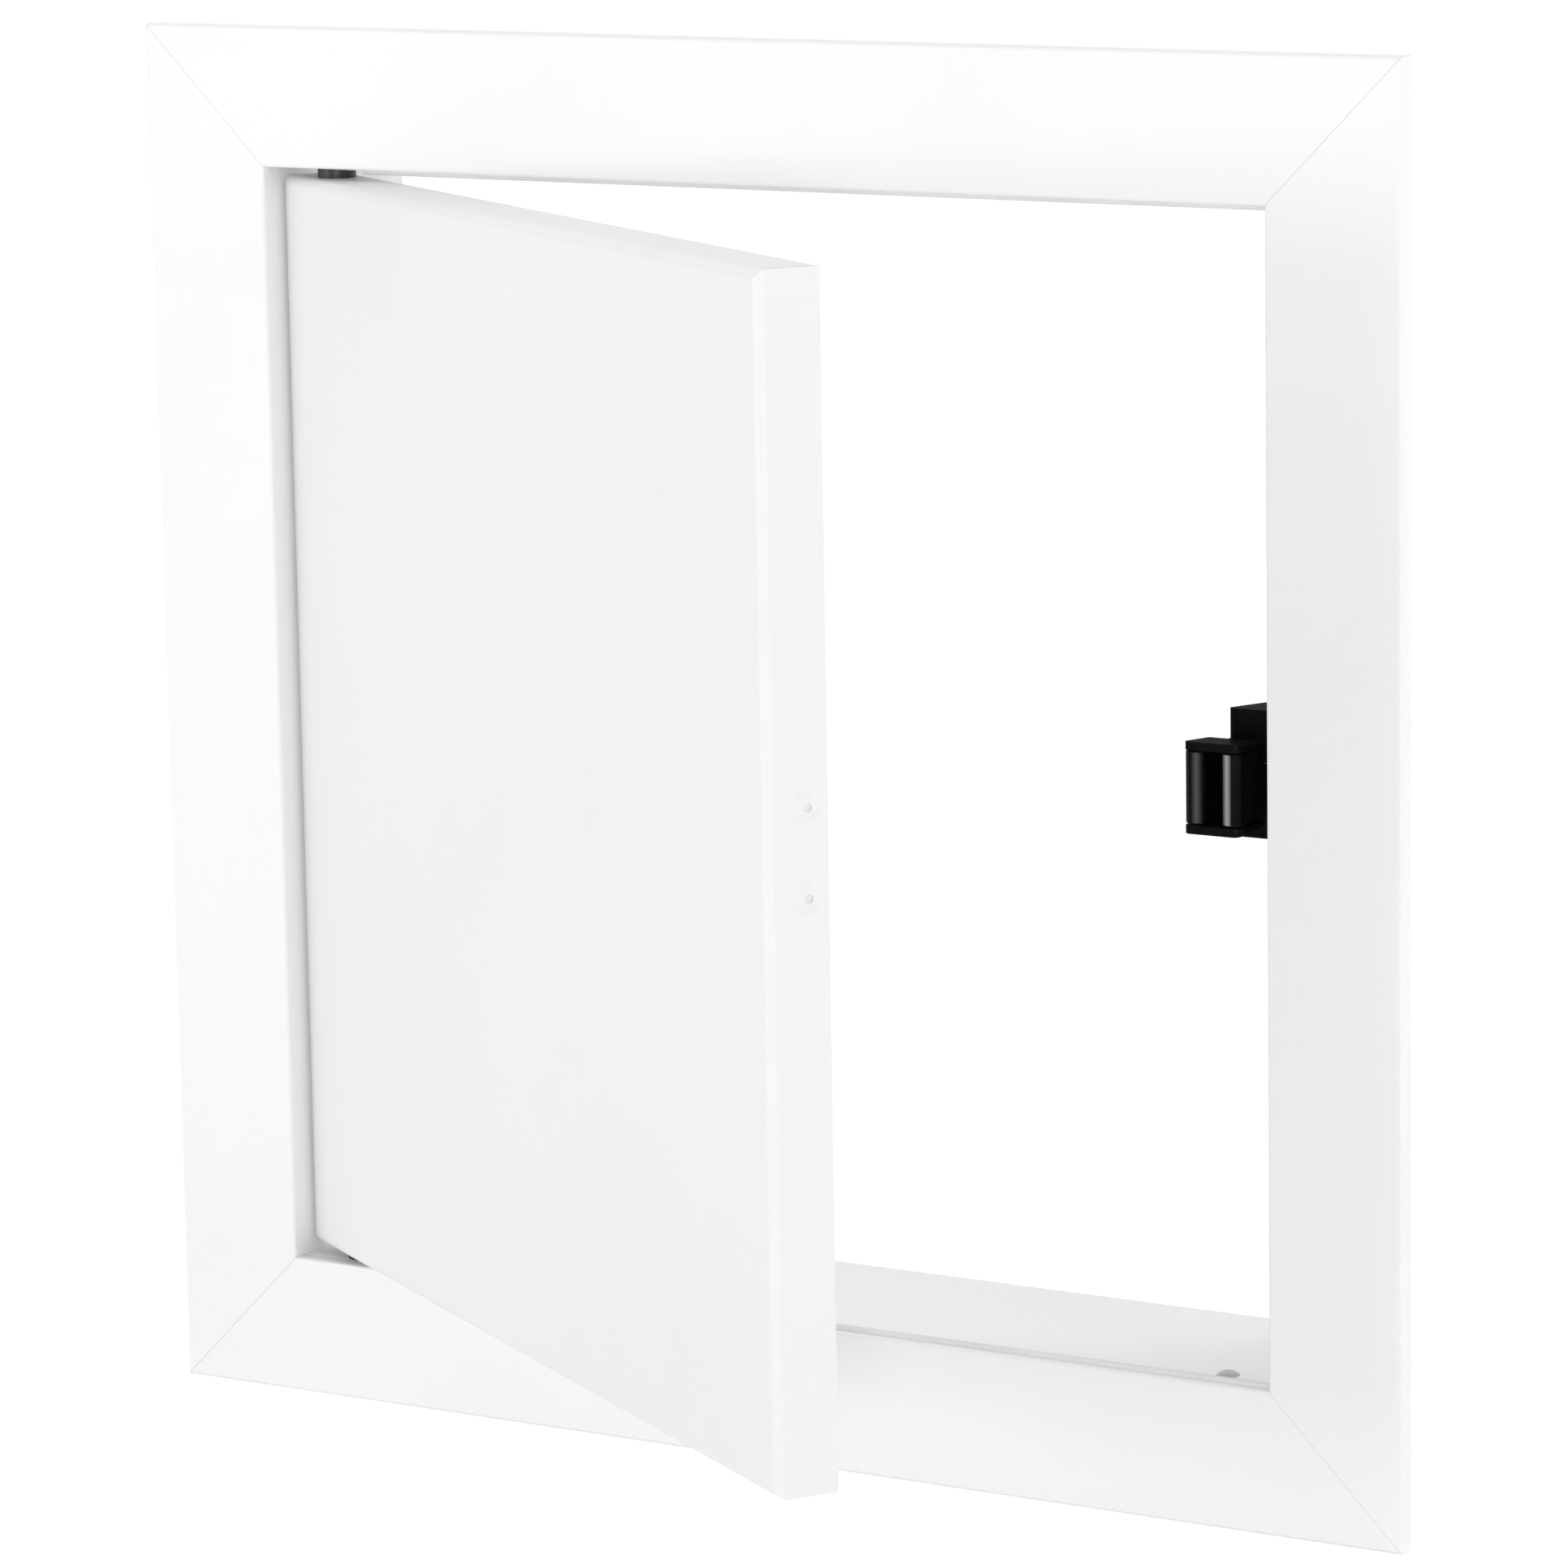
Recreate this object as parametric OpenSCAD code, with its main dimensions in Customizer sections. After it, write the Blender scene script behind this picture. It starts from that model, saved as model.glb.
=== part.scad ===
// Ceiling and wall access panel with a mitred aluminium frame, a pan door on pivot pins and a touch latch.
// The panel stands upright: the face looks towards -Y, the wall surface is the plane y = 0, and +Z is up.

/* [Frame] */
// Clear width of the opening between the side jambs
open_w = 203.2; // [180:0.1:406]
// Clear height of the opening between the top and bottom jambs
open_h = 203.2; // [180:0.1:406]
// Width of the face flange around the opening
flange_w = 25.4; // [24:0.1:40]
// Depth of the flange's turned-back edge, from the face to the wall
flange_t = 3.6; // [3.4:0.1:5]
// Depth of the jambs, measured from the face
jamb_depth = 44.45; // [43:0.05:80]
// Wall thickness of the frame profile
frame_wall = 1.4; // [1.2:0.1:1.6]
// Rounding of the frame's front edges
frame_edge_r = 0.6; // [0.2:0.1:1]
// Hairline gap at each mitre
mitre_gap = 0.1; // [0.06:0.02:0.3]
// Diameter of the fixing screw holes in the side jambs
fix_hole_d = 4.5; // [3.5:0.1:6]
// Distance between the two fixing holes of a side jamb
fix_spacing = 140; // [80:1:160]
// Depth of the fixing holes behind the face
fix_depth = 30; // [15:1:36]

/* [Dust seal] */
// Width of the seal slot in the jamb
seal_slot_w = 1.5; // [1.2:0.1:1.6]
// Distance of the seal slot behind the face
seal_setback = 1.8; // [1.6:0.1:1.9]
// Depth of the seal slot
seal_slot_deep = 1.6; // [1:0.1:2.4]
// Clearance around the seal in its slot
seal_clear = 0.05; // [0.02:0.01:0.1]
// How far the seal's round nose stands out of the jamb
seal_proud = 0.9; // [0.4:0.1:1.2]
// Rounding of the seal's nose
seal_nose_r = 0.6; // [0.3:0.05:0.65]
// How far past the pivot axis the nose is trimmed off the bottom and top strips
seal_trim = 9; // [5:0.5:20]

/* [Corner keys] */
// Length of each arm of a corner key
key_arm = 34; // [26:1:60]
// Thickness of a corner key
key_t = 1.1; // [0.8:0.1:1.2]
// Width of a corner key's arm
key_w = 11; // [8:0.5:12]
// Side clearance of a key in its channel
key_clear = 0.2; // [0.1:0.05:0.3]
// Overhang of the lips that hold the keys
key_lip = 1.6; // [1:0.1:2.4]
// Thickness of the lips that hold the keys
key_lip_t = 1; // [0.7:0.1:1.1]
// Diameter of the set screws in the keys
set_screw_d = 2.5; // [2:0.5:3]

/* [Door] */
// Gap between the door and the jambs
door_gap = 2; // [1.8:0.1:3]
// Depth of the door's folded edges
door_t = 11.1; // [10.6:0.1:13]
// Thickness of the door's sheet
door_sheet = 1.2; // [1:0.1:1.4]
// Outside radius of the door's folds
door_edge_r = 2; // [1.6:0.1:2.4]
// Width of the slit between the folded edges at each corner
corner_slit = 0.4; // [0.2:0.1:0.8]
// Opening angle of the door as it stands
rest_angle = 33; // [0:1:100]

/* [Hinge] */
// Distance of the pivot axis from the door's hinge edge
pivot_inset = 9.4; // [9:0.1:11]
// Distance of the pivot axis behind the face
pivot_setback = 7; // [6.8:0.1:7.4]
// Diameter of the pivot pins
pin_d = 3.2; // [2.5:0.1:3.4]
// Radial clearance of the pins in their holes
pin_clear = 0.05; // [0.02:0.01:0.08]
// How far a pin reaches past the jamb's inner face
pin_reach = 2.4; // [1.8:0.1:4]
// Outside diameter of the black nylon spacers on the pins
spacer_d = 7; // [6:0.1:7.2]
// Running clearance between a spacer and the jamb
spacer_clear = 0.1; // [0.05:0.05:0.3]
// Diameter of the heads of the plugs in the spare pivot holes
plug_head_d = 4.2; // [4:0.1:6]
// Height of the plugs' heads
plug_head_h = 0.9; // [0.5:0.1:1.2]
// Thickness of the bracket sheet
bracket_t = 1.2; // [0.8:0.1:1.4]
// Height of the brackets' riveted legs
bracket_leg = 16; // [14:1:24]
// Distance of the lower bracket's ear from the door's edge
lower_ear = 8; // [6:0.5:20]
// Distance of the upper bracket's ear from the door's edge
upper_ear = 24; // [20:0.5:40]
// Thickness of the collars on the pins
collar_t = 1.4; // [1:0.1:2]
// Diameter of the collars on the pins
collar_d = 5.6; // [5:0.1:6]
// Length of the finger tab on the upper pin
tab_len = 16; // [12:1:30]
// Wire diameter of the upper pin's spring
pin_spring_wire = 0.6; // [0.4:0.05:0.7]
// Outside diameter of the upper pin's spring
pin_spring_d = 5.4; // [5:0.1:6]
// Number of turns of the upper pin's spring
pin_spring_turns = 9; // [5:1:12]

/* [Rivets] */
// Diameter of the rivets
rivet_d = 3.2; // [2.4:0.1:3.2]
// Diameter of the rivet heads
rivet_head_d = 5.6; // [4.8:0.1:6]
// Height of the rivet heads
rivet_head_h = 0.8; // [0.5:0.1:1]
// Diameter of the dimple over the drawn mandrel in a rivet's head
mandrel_d = 1.5; // [1:0.1:1.8]
// Depth of the dimple over the drawn mandrel, from the top of the head
mandrel_deep = 0.6; // [0.3:0.1:1]
// Distance between the two rivets of a hinge bracket
bracket_rivet_pitch = 8; // [6.5:0.5:9]
// Distance between the two rivets of the striker bracket
striker_rivet_pitch = 14.8; // [10:0.1:18]
// Distance of the striker rivets behind the face
striker_rivet_setback = 7.2; // [6:0.1:8]

/* [Touch latch] */
// Distance of the latch's centre line from the side jamb
latch_offset = 12.6; // [12.2:0.1:16]
// Height of the latch's centre above the middle of the opening
latch_z = 1.6; // [-20:0.1:20]
// Distance of the housing's front behind the face
housing_setback = 16; // [15.8:0.1:16.8]
// Length of the housing along its depth
housing_len = 25; // [24.5:0.5:26]
// Height of the housing's screw ear above the centre line
housing_above = 12.1; // [11.8:0.1:16]
// How far the ear's top falls from its front to its back
ear_fall = 2.2; // [1:0.1:2.4]
// Reach of the housing's screw ear from the side jamb
ear_reach = 15.6; // [12:0.1:17]
// Height of the housing below the centre line
housing_below = 10.2; // [8:0.1:14]
// Wall thickness of the housing
housing_wall = 1.2; // [1:0.1:1.4]
// Rounding of the housing's upright edges
housing_r = 1.4; // [0.6:0.1:2]
// Width of the cavity in the housing
cavity_w = 10.4; // [10.2:0.1:11]
// Height of the cavity in the housing
cavity_h = 8.4; // [8.2:0.1:9]
// Clearance of the sliding plunger in the cavity
slide_clear = 0.3; // [0.2:0.05:0.4]
// Travel of the plunger
plunger_travel = 2; // [1:0.1:2]
// Distance of the plunger's seat behind the face
seat_setback = 10; // [9.9:0.1:10.4]
// Distance of the claw tips behind the face
claw_setback = 4; // [3.8:0.1:4.4]
// Height of the plunger's front over its two plates
front_h = 16; // [15:0.2:18]
// Width of the plunger's plates
plate_w = 10.6; // [10.4:0.1:11.4]
// Thickness of the plunger's plates at the front
plate_t = 1.5; // [1.3:0.1:1.8]
// How far the plates' outer faces fall towards the back
plate_fall = 0.8; // [0:0.1:0.9]
// Rounding of the plates' front corners
plate_r = 1.2; // [0.6:0.1:1.6]
// Thickness of the claws' arms
claw_t = 2.6; // [2:0.1:2.8]
// Half the space between the claws' arms when they are shut
claw_half_space = 1.6; // [1.5:0.05:1.8]
// Half the space between the claws' lips when they are shut
lip_half_space = 0.65; // [0.6:0.05:0.8]
// Depth of the claws' lips
lip_t = 1.6; // [1:0.1:1.8]
// Length of the lead-in faces on the claws' inner edges
lead_in_len = 2.2; // [1.4:0.1:2.4]
// Angle of the lead-in faces, turned from the front
lead_in_angle = 20; // [15:1:30]
// Length of the slanted faces on the claws' outer edges
slant_len = 1.4; // [1:0.1:1.5]
// Angle of the slanted faces, turned from the front
slant_angle = 40; // [33:1:45]
// Angle that each claw stands open
claw_open = 4.5; // [4:0.1:5]
// Diameter of the claws' hinge knuckles
knuckle_d = 3.6; // [3:0.1:3.7]
// Height of the claws' knuckles
knuckle_h = 5; // [4:0.5:5]
// Diameter of the claws' pins
claw_pin_d = 1.5; // [1:0.1:1.8]
// Diameter of the latch screws
latch_screw_d = 2.5; // [2:0.1:2.6]
// Diameter of the latch screws' heads
latch_screw_head_d = 4; // [3.8:0.1:4.2]
// Height of the latch screws' heads
latch_screw_head_h = 2; // [1.5:0.1:2.4]
// Distance between the two latch screws
latch_screw_pitch = 12; // [8:0.5:13]
// Wire diameter of the latch spring
latch_spring_wire = 0.7; // [0.4:0.05:0.8]
// Outside diameter of the latch spring
latch_spring_d = 5.6; // [5:0.1:6.4]
// Number of turns of the latch spring
latch_spring_turns = 7; // [4:1:9]

/* [Striker] */
// Thickness of the striker's neck
striker_neck_t = 0.8; // [0.6:0.1:0.9]
// Width of the striker's head
striker_head_w = 2.6; // [2.2:0.1:2.8]
// Depth of the striker's head
striker_head_t = 1.6; // [1.2:0.1:1.8]
// Height of the striker
striker_h = 10.8; // [6:0.2:12]
// Clearance between the striker's head and the plunger's seat when the door is shut
striker_clear = 0.4; // [0.3:0.05:0.6]

/* [Hidden] */
$fn = 48;
eps = 0.01;
// Outline of the frame and the door
frame_w = open_w + 2 * flange_w;
frame_h = open_h + 2 * flange_w;
door_w = open_w - 2 * door_gap;
door_h = open_h - 2 * door_gap;
// The face's place in depth
face_y = -flange_t;
// Pivot axis, on the left; the spare holes for the other hand mirror it
pivot_x = -door_w / 2 + pivot_inset;
pivot_y = face_y + pivot_setback;
pin_hole_r = pin_d / 2 + pin_clear;
// Key channel behind the flange, from its outer wall inwards
key_channel_w = key_w + 2 * key_clear;
key_u_out = flange_w - frame_wall;
key_u_in = key_u_out - key_channel_w;
key_front = flange_t - key_lip_t - key_t;
set_screw_from_end = key_w / 2;
// Seal channel
seal_block_u = seal_slot_deep + frame_wall;
seal_back_wall = 1.2;
seal_block_d = seal_setback + seal_slot_w + seal_back_wall;
// Latch axis
latch_x = open_w / 2 - latch_offset;
claw_pivot_x = claw_half_space + claw_t / 2;
fork_front = housing_setback + housing_wall + slide_clear;
claw_pivot_d = fork_front + claw_pin_d;
knuckle_gap = 0.3;
tail_front = claw_pivot_d + knuckle_d / 2 + knuckle_gap;
tail_len = 3.4;
peg_r = 1.4;
peg_len = 3;
cap_t = housing_wall;
cap_front = housing_setback + housing_len - cap_t;
mouth_clear = 0.5;
mouth_h = knuckle_h + 2 * mouth_clear;
housing_front_clear = 0.4;
claw_tall_end = housing_setback - plunger_travel - housing_front_clear;
claw_end_clear = 0.2;
claw_h = front_h - 2 * (plate_t + claw_end_clear);
housing_top = cavity_h / 2 + housing_wall;
latch_screw_z = housing_top + latch_screw_head_d / 2;
latch_screw_mid = housing_setback + housing_len / 2;
latch_screw_past = 2.4;
latch_screw_clear = 0.1;
screw_head_below = 0.4;
screw_sink = latch_screw_head_h + screw_head_below;
// Door hardware
striker_tip = seat_setback - striker_clear;
striker_base_t = 1;
striker_base_w = 7;
hardware_clear = 0.3;
hardware_back = door_t - 2 * hardware_clear;
hardware_front = door_edge_r + hardware_clear;
striker_rivet_rise = 4.7;
striker_rivet_mid = latch_z + striker_rivet_rise;
striker_leg_over = 4.4;

// Frame profile: u runs outwards from the opening's edge, d runs back from the face

// The waste that is cut from a square corner to round it
module corner_waste(r) {
    difference() {
        translate([-eps, -eps])
            square(r + eps);
        translate([r, r])
            circle(r);
    }
}

module rail_profile(sealed = true) {
    difference() {
        union() {
            square([flange_w, frame_wall]);
            square([frame_wall, jamb_depth]);
            translate([flange_w - frame_wall, 0])
                square([frame_wall, flange_t]);
            translate([flange_w - frame_wall - key_lip, flange_t - key_lip_t])
                square([frame_wall + key_lip, key_lip_t]);
            translate([key_u_in - frame_wall, 0])
                square([frame_wall, flange_t]);
            translate([key_u_in - frame_wall, flange_t - key_lip_t])
                square([frame_wall + key_lip, key_lip_t]);
            if (sealed)
                square([seal_block_u, seal_block_d]);
        }
        corner_waste(frame_edge_r);
        translate([flange_w, 0])
            mirror([1, 0])
                corner_waste(frame_edge_r);
        if (sealed)
            translate([-eps, seal_setback])
                square([seal_slot_deep + eps, seal_slot_w]);
    }
}

// Space between the two mitre planes of a bottom rail, with a little to spare inside the opening
module mitre_wedge(run, half_open, gap) {
    shift = gap / sqrt(2);
    spare = 1.5;
    outer = run / 2 - shift;
    inner = outer - flange_w - spare;
    translate([0, jamb_depth, 0])
        rotate([90, 0, 0])
            linear_extrude(2 * jamb_depth)
                polygon([
                    [-outer, -half_open - flange_w],
                    [outer, -half_open - flange_w],
                    [inner, -half_open + spare],
                    [-inner, -half_open + spare]
                ]);
}

// A profile run along a bottom rail and cut at both mitres
module mitred(run, half_open, gap) {
    intersection() {
        translate([-run / 2, face_y, -half_open])
            rotate([0, 90, 0])
                linear_extrude(run)
                    children();
        mitre_wedge(run, half_open, gap);
    }
}

// A hole drilled square through a bottom rail's jamb, x along the rail and d behind the face
module jamb_hole(half_open, x, d, r) {
    translate([x, face_y + d, -half_open - 2 * frame_wall])
        cylinder(r = r, h = 3 * frame_wall);
}

// Top and bottom rails have a pivot hole at each end, so the door can be hung on either hand
module cross_rail() {
    color("white")
        difference() {
            mitred(frame_w, open_h / 2, mitre_gap / 2)
                rail_profile();
            for (side = [-1, 1])
                jamb_hole(open_h / 2, side * pivot_x, pivot_setback, pin_hole_r);
        }
}

// Side stiles have the fixing holes and the latch screws' holes, hand is +1 on the right
// The hinge side's stile, on the left, is plain: the door's edge swings there and no seal can touch it
module side_stile(hand) {
    color("white")
        difference() {
            mitred(frame_h, open_w / 2, mitre_gap / 2)
                rail_profile(hand > 0);
            for (side = [-1, 1])
                jamb_hole(open_w / 2, side * fix_spacing / 2, fix_depth, fix_hole_d / 2);
            for (side = [-1, 1])
                jamb_hole(open_w / 2, hand * (latch_z + latch_screw_z),
                    latch_screw_mid + side * latch_screw_pitch / 2, latch_screw_d / 2 + latch_screw_clear);
        }
}

module frame_bottom_rail() {
    cross_rail();
}

module frame_top_rail() {
    rotate([0, 180, 0])
        cross_rail();
}

module frame_left_stile() {
    rotate([0, 90, 0])
        side_stile(-1);
}

module frame_right_stile() {
    rotate([0, -90, 0])
        side_stile(1);
}

// Corner keys: flat angles that slide into the rails' channels and are jacked tight by set screws

// Outer corner of a key and its set screw places, measured in from the frame's corner
key_edge = frame_wall + key_clear;

module place_corner(sx, sz) {
    translate([sx * (frame_w / 2 - key_edge), 0, sz * (frame_h / 2 - key_edge)])
        mirror([sx > 0 ? 1 : 0, 0, 0])
            mirror([0, 0, sz > 0 ? 1 : 0])
                children();
}

module set_screw_places() {
    far = key_arm - set_screw_from_end;
    for (p = [[far, key_w / 2], [key_w / 2, far]])
        translate([p[0], 0, p[1]])
            children();
}

module corner_key(sx, sz) {
    color("silver")
        place_corner(sx, sz)
            difference() {
                translate([0, face_y + key_front, 0])
                    union() {
                        cube([key_arm, key_t, key_w]);
                        cube([key_w, key_t, key_arm]);
                    }
                set_screw_places()
                    translate([0, face_y + flange_t, 0])
                        rotate([90, 0, 0])
                            cylinder(r = set_screw_d / 2 + pin_clear, h = flange_t);
            }
}

module key_set_screws() {
    tip_clear = 0.05;
    back_clear = 0.3;
    color("dimgray")
        for (sx = [-1, 1], sz = [-1, 1])
            place_corner(sx, sz)
                set_screw_places()
                    translate([0, face_y + frame_wall + tip_clear, 0])
                        rotate([-90, 0, 0])
                            difference() {
                                cylinder(d = set_screw_d, h = flange_t - frame_wall - back_clear);
                                translate([0, 0, key_t])
                                    cylinder(d = set_screw_d / 2, h = flange_t, $fn = 6);
                            }
}

// Dust seal: three rubber strips pushed into the jambs' slots, at the bottom, the top and the latch side
module seal_strip(run, half_open) {
    w = seal_slot_w - 2 * seal_clear;
    mitred(run, half_open, mitre_gap / 2)
        translate([-seal_proud, seal_setback + seal_clear])
            difference() {
                square([seal_proud + seal_slot_deep - seal_clear, w]);
                corner_waste(seal_nose_r);
                translate([0, w])
                    mirror([0, 1])
                        corner_waste(seal_nose_r);
            }
}

// A bottom or top strip, its nose trimmed flush at the hinge end so that the pivot's spacer turns freely
module pivot_seal_strip(hinge_end) {
    trim_from = -pivot_x - seal_trim;
    difference() {
        seal_strip(frame_w, open_h / 2);
        mirror([hinge_end < 0 ? 1 : 0, 0, 0])
            translate([trim_from, face_y, -open_h / 2])
                cube([frame_w / 2 - trim_from, seal_block_d, 2 * seal_proud]);
    }
}

module dust_seal() {
    color("gainsboro") {
        pivot_seal_strip(-1);
        rotate([0, 180, 0])
            pivot_seal_strip(1);
        rotate([0, -90, 0])
            seal_strip(frame_h, open_w / 2);
    }
}

// Plugs in the spare pivot holes at the right end of the bottom and top rails
module spare_hole_plugs() {
    dome_r = (pow(plug_head_d / 2, 2) + pow(plug_head_h, 2)) / (2 * plug_head_h);
    past_jamb = 1;
    shank = frame_wall + past_jamb;
    color("gray")
        for (side = [0, 1])
            mirror([0, 0, side])
                translate([-pivot_x, pivot_y, -open_h / 2]) {
                    translate([0, 0, -shank])
                        cylinder(d = pin_d, h = shank + eps);
                    rotate_extrude()
                        intersection() {
                            translate([0, plug_head_h - dome_r])
                                circle(dome_r);
                            square([plug_head_d / 2, plug_head_h]);
                        }
                }
}

// A coil spring that stands on z = 0, swept as one closed tube with its end turns flat against its seats
function coil_turn_z(t, turns, len, wire) = wire / 2 + t / turns * (len - wire);
function coil_ring(t, turns, len, mid_r, wire, sides) = [
    for (k = [0 : sides - 1])
        let (a = 360 * t, b = 360 * k / sides, r = mid_r + wire / 2 * cos(b))
            [r * cos(a), r * sin(a), coil_turn_z(t, turns, len, wire) + wire / 2 * sin(b)]
];

module coil(len, outer_d, wire, turns) {
    steps = 12;
    sides = 6;
    rings = turns * steps;
    points = [
        for (i = [0 : rings])
            each coil_ring(i / steps, turns, len, (outer_d - wire) / 2, wire, sides)
    ];
    skin = [
        for (i = [0 : rings - 1], k = [0 : sides - 1])
            let (n = (k + 1) % sides)
                [i * sides + k, i * sides + n, (i + 1) * sides + n, (i + 1) * sides + k]
    ];
    start = [for (k = [0 : sides - 1]) sides - 1 - k];
    end = [for (k = [0 : sides - 1]) rings * sides + k];
    polyhedron(points = points, faces = concat([start], skin, [end]), convexity = 8);
}

// Touch latch: x across the latch from its centre line, y back from the face, z up from its centre
module at_latch() {
    translate([latch_x, face_y, latch_z])
        children();
}

module centred_box(w, h, d0, d1) {
    translate([-w / 2, d0, -h / 2])
        cube([w, d1 - d0, h]);
}

module latch_screw_places() {
    for (side = [-1, 1])
        translate([0, latch_screw_mid + side * latch_screw_pitch / 2, latch_screw_z])
            rotate([0, 90, 0])
                children();
}

housing_left = -cavity_w / 2 - housing_wall;

// Plan of the housing from its free side at left to the jamb, its two free corners rounded
module housing_plan(left) {
    difference() {
        translate([left, housing_setback])
            square([latch_offset - left, housing_len]);
        translate([left, housing_setback])
            corner_waste(housing_r);
        translate([left, housing_setback + housing_len])
            mirror([0, 1])
                corner_waste(housing_r);
    }
}

// What is cut off the ear so that its top falls towards the back
module ear_slope(left) {
    fall = ear_fall / housing_len;
    over = 1;
    translate([left - over, housing_setback, housing_above])
        rotate([90, 0, 90])
            linear_extrude(ear_reach + 2 * over)
                polygon([
                    [-over, fall * over],
                    [housing_len + over, -fall * (housing_len + over)],
                    [housing_len + over, 2 * over],
                    [-over, 2 * over]
                ]);
}

module latch_housing() {
    back = housing_setback + housing_len;
    cavity_front = housing_setback + housing_wall;
    ear_left = latch_offset - ear_reach;
    over = 1;
    color("black")
        at_latch()
            difference() {
                union() {
                    translate([0, 0, -housing_below])
                        linear_extrude(housing_below + housing_top)
                            housing_plan(housing_left);
                    translate([0, 0, housing_top - eps])
                        linear_extrude(housing_above - housing_top + over)
                            housing_plan(ear_left);
                }
                ear_slope(ear_left);
                centred_box(cavity_w, cavity_h, cavity_front, back + eps);
                centred_box(cavity_w - slide_clear, mouth_h, housing_setback - eps, cavity_front + eps);
                latch_screw_places() {
                    translate([0, 0, ear_left - eps])
                        cylinder(r = latch_screw_d / 2 + 2 * latch_screw_clear, h = ear_reach + over);
                    translate([0, 0, ear_left - housing_wall])
                        cylinder(r = latch_screw_head_d / 2 + slide_clear, h = screw_sink + housing_wall);
                }
            }
}

module latch_rear_cap() {
    fit = 0.1;
    color("black")
        at_latch() {
            centred_box(cavity_w - 2 * fit, cavity_h - 2 * fit, cap_front, cap_front + cap_t);
            translate([0, cap_front + eps, 0])
                rotate([90, 0, 0])
                    cylinder(r = peg_r, h = peg_len);
        }
}

module latch_screws() {
    ear_left = latch_offset - ear_reach;
    shank = ear_reach + frame_wall + latch_screw_past - screw_sink;
    socket_d = 0.7 * latch_screw_d;
    color("silver")
        at_latch()
            latch_screw_places()
                translate([0, 0, ear_left + screw_sink]) {
                    translate([0, 0, -eps])
                        cylinder(d = latch_screw_d, h = shank + eps);
                    translate([0, 0, -latch_screw_head_h])
                        difference() {
                            cylinder(d = latch_screw_head_d, h = latch_screw_head_h);
                            translate([0, 0, -eps])
                                cylinder(d = socket_d, h = latch_screw_head_h / 2, $fn = 6);
                        }
                }
}

module latch_spring() {
    from = tail_front + tail_len;
    seat_gap = 0.1;
    len = cap_front - from - 2 * seat_gap;
    color("lightgray")
        at_latch()
            translate([0, from + seat_gap, 0])
                rotate([-90, 0, 0])
                    coil(len, latch_spring_d, latch_spring_wire, latch_spring_turns);
}

module claw_pin_places() {
    for (side = [-1, 1])
        translate([side * claw_pivot_x, claw_pivot_d, 0])
            children();
}

// The plunger's two plates, one over and one under the claws, their outer faces falling towards the back
module plunger_plates() {
    len = claw_tall_end - claw_setback;
    half = front_h / 2;
    inner = half - plate_t;
    for (side = [0, 1])
        mirror([0, 0, side])
            translate([0, claw_setback, 0])
                intersection() {
                    translate([0, 0, inner])
                        linear_extrude(plate_t)
                            rounded_front(plate_w, len, plate_r);
                    translate([-plate_w, 0, 0])
                        rotate([90, 0, 90])
                            linear_extrude(2 * plate_w)
                                polygon([[0, 0], [len, 0], [len, half - plate_fall], [0, half]]);
                }
}

module latch_plunger() {
    claw_side_clear = 0.4;
    plate_joint = 0.3;
    pin_fit = 0.02;
    nose_w = 2 * (claw_half_space - claw_side_clear);
    nose_h = front_h - 2 * (plate_t - plate_joint);
    neck_end = claw_pivot_d - knuckle_d / 2 - knuckle_gap;
    web_w = 2 * (claw_pivot_x - knuckle_d / 2 - knuckle_gap);
    body_w = cavity_w - 2 * slide_clear;
    body_h = cavity_h - 2 * slide_clear;
    ear_h = (body_h - knuckle_h) / 2 - claw_end_clear;
    color("black")
        at_latch()
            difference() {
                union() {
                    centred_box(nose_w, knuckle_h, seat_setback, neck_end);
                    centred_box(nose_w, nose_h, seat_setback, claw_tall_end);
                    plunger_plates();
                    centred_box(web_w, knuckle_h, seat_setback + eps, tail_front + eps);
                    centred_box(body_w, body_h, tail_front, tail_front + tail_len);
                    for (side = [-1, 1])
                        translate([0, 0, side * (body_h - ear_h) / 2])
                            centred_box(body_w, ear_h, fork_front, tail_front + eps);
                    translate([0, tail_front + tail_len - eps, 0])
                        rotate([-90, 0, 0])
                            cylinder(r = peg_r, h = peg_len);
                }
                claw_pin_places()
                    translate([0, 0, -cavity_h / 2])
                        cylinder(r = claw_pin_d / 2 + pin_fit, h = cavity_h);
            }
}

module latch_claw_pins() {
    len = cavity_h - 2 * slide_clear;
    color("silver")
        at_latch()
            claw_pin_places()
                translate([0, 0, -len / 2])
                    cylinder(d = claw_pin_d, h = len);
}

// The waste that is cut from a square corner to slant it: a face of length len, turned from the front
module slant_waste(len, angle) {
    run = len * cos(angle);
    rise = len * sin(angle);
    over = 1;
    polygon([[-over, -over], [run + over / tan(angle), -over], [-over, rise + over * tan(angle)]]);
}

// Plan of the tall front of a claw: an arm with a hooked lip, slanted at both front corners
module claw_plan() {
    outer = claw_half_space + claw_t;
    difference() {
        union() {
            translate([claw_half_space, claw_setback])
                square([claw_t, claw_tall_end - claw_setback]);
            translate([lip_half_space, claw_setback])
                square([claw_half_space - lip_half_space + eps, lip_t]);
        }
        translate([outer, claw_setback])
            mirror([1, 0])
                slant_waste(slant_len, slant_angle);
        translate([lip_half_space, claw_setback])
            slant_waste(lead_in_len, lead_in_angle);
    }
}

module claw_front() {
    translate([0, 0, -claw_h / 2])
        linear_extrude(claw_h)
            claw_plan();
}

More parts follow.
